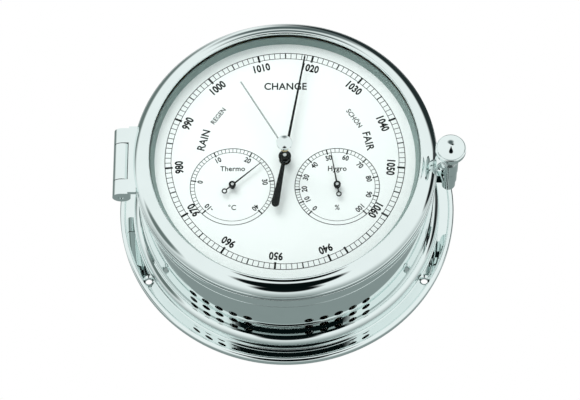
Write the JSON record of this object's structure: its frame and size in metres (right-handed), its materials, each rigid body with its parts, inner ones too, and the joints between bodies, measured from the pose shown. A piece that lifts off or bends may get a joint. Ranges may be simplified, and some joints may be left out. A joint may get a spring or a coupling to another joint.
{
  "type": "ship barometer",
  "caption": "Bulkhead barometer in a round polished case with hinged glazed door, set hand, thermometer and hygrometer sub-dials, vented drum and screw-down wall flange.",
  "frame": {"origin": "centre of the wall flange's back face, in the wall plane", "axes": "+Y points into the wall, +Z is the top of the dial, +X is to the right of a reader; the dial faces -Y"},
  "size_m": [0.1891, 0.0876, 0.1852],
  "materials": {
    "polished_chrome": "mirror polish",
    "black_rubber": "matt",
    "white_enamel": "matt white print ground",
    "grey_enamel": "matt",
    "black_lacquer": "satin",
    "silver_metal": "satin",
    "clear_glass": "clear polished",
    "movement_brass": "fine brushed",
    "capsule_metal": "pressed",
    "spring_steel": "blued",
    "back_steel": "matt black",
    "steel": "machined"
  },
  "bodies": {
    "case": {"wall_flange": "polished_chrome", "case_drum": "polished_chrome", "front_ring": "polished_chrome", "door_seal": "black_rubber", "back_plate": "back_steel", "back_plate_screws": "steel", "dial": "white_enamel", "dial_ring": "grey_enamel", "dial_screws": "steel", "case_hinge_leaf": "polished_chrome", "hinge_screws": "steel", "hinge_pin": "polished_chrome", "lock_lug": "polished_chrome", "lock_lug_screws": "steel", "movement_base": "movement_brass", "case_screws": "steel", "rear_pillars": "movement_brass", "front_pillars": "movement_brass", "bridge_screws": "steel", "front_bridge": "movement_brass", "rear_bridge": "movement_brass", "rocker_bearings": "movement_brass", "capsule_front": "capsule_metal", "capsule_rear": "capsule_metal", "spring_post": "movement_brass", "hairspring": "spring_steel", "thermometer_coil": "spring_steel", "thermometer_bracket": "movement_brass", "hygrometer_coil": "spring_steel", "hygrometer_bracket": "movement_brass"},
    "door": {"bezel_ring": "polished_chrome", "glass_retaining_ring": "movement_brass", "retaining_ring_screws": "steel", "glass_gasket": "black_rubber", "glass": "clear_glass", "door_hinge_leaf": "polished_chrome", "door_leaf_screws": "steel", "lock_ear": "polished_chrome", "glass_bush": "polished_chrome", "bush_nut": "movement_brass"},
    "set_pointer": {"set_knob": "polished_chrome", "set_hand": "silver_metal"},
    "lock_carrier": {"lock_washer": "steel"},
    "lock_knob": {"lock_screw": "polished_chrome"},
    "pressure_pointer": {"pressure_hand": "black_lacquer", "hand_hub": "black_lacquer", "hand_bush": "silver_metal", "hand_arbor": "steel", "pinion": "movement_brass"},
    "sector": {"toothed_sector": "movement_brass", "sector_arbor": "steel"},
    "link": {"link_rod": "movement_brass"},
    "rocker": {"rocking_shaft": "steel"},
    "lever": {"main_spring": "spring_steel", "main_lever": "spring_steel"},
    "temperature_pointer": {"thermometer_hand": "black_lacquer", "thermometer_arbor": "steel"},
    "humidity_pointer": {"hygrometer_hand": "black_lacquer", "hygrometer_arbor": "steel"},
    "adjuster": {"adjusting_screw": "steel"}
  },
  "joints": [
    {"name": "door_hinge", "type": "hinge", "parent": "case", "child": "door", "pos_m": [-0.0876, -0.0604, 0], "axis": [0, 0, -1], "range_deg": [0, 115]},
    {"name": "set_turn", "type": "hinge", "parent": "door", "child": "set_pointer", "pos_m": [0, -0.08, 0], "axis": [0, 1, 0], "continuous": true},
    {"name": "lock_travel", "type": "slide", "parent": "door", "child": "lock_carrier", "axis": [0, -1, 0], "range_m": [0, 0.00701]},
    {"name": "lock_turn", "type": "hinge", "parent": "lock_carrier", "child": "lock_knob", "pos_m": [0.08835, -0.07, -0.00284], "axis": [0, -1, 0], "range_deg": [0, 2520]},
    {"name": "pressure_turn", "type": "hinge", "parent": "case", "child": "pressure_pointer", "pos_m": [0, -0.065, 0], "axis": [0, 1, 0], "range_deg": [-212.4, 111.6]},
    {"name": "sector_turn", "type": "hinge", "parent": "case", "child": "sector", "pos_m": [-0.0325, -0.046, 0], "axis": [0, 1, 0], "range_deg": [-9.39, 17.88]},
    {"name": "link_slide", "type": "slide", "parent": "case", "child": "link", "axis": [1, 0, 0], "range_m": [-0.00187, 0.00098]},
    {"name": "rocker_turn", "type": "hinge", "parent": "case", "child": "rocker", "pos_m": [-0.014, -0.037, 0], "axis": [0, 0, 1], "range_deg": [-15.17, 7.97]},
    {"name": "lever_bend", "type": "hinge", "parent": "case", "child": "lever", "pos_m": [0.042, -0.03375, 0], "axis": [0, 0, 1], "range_deg": [-0.46, 0.88]},
    {"name": "temperature_turn", "type": "hinge", "parent": "case", "child": "temperature_pointer", "pos_m": [-0.028, -0.065, -0.016], "axis": [0, 1, 0], "range_deg": [-183.8, 86.2]},
    {"name": "humidity_turn", "type": "hinge", "parent": "case", "child": "humidity_pointer", "pos_m": [0.028, -0.065, -0.016], "axis": [0, 1, 0], "range_deg": [-127.4, 145.6]},
    {"name": "adjuster_turn", "type": "hinge", "parent": "case", "child": "adjuster", "pos_m": [0, -0.015, 0], "axis": [0, 1, 0], "range_deg": [-360, 360]}
  ],
  "couplings": [
    {"joint": "lock_travel", "follows": "lock_turn", "m_per_rad": 0.00015915},
    {"joint": "sector_turn", "follows": "pressure_turn", "ratio": -0.083333},
    {"joint": "link_slide", "follows": "pressure_turn", "m_per_rad": 0.0005},
    {"joint": "rocker_turn", "follows": "pressure_turn", "ratio": 0.0707},
    {"joint": "lever_bend", "follows": "pressure_turn", "ratio": -0.0041}
  ]
}
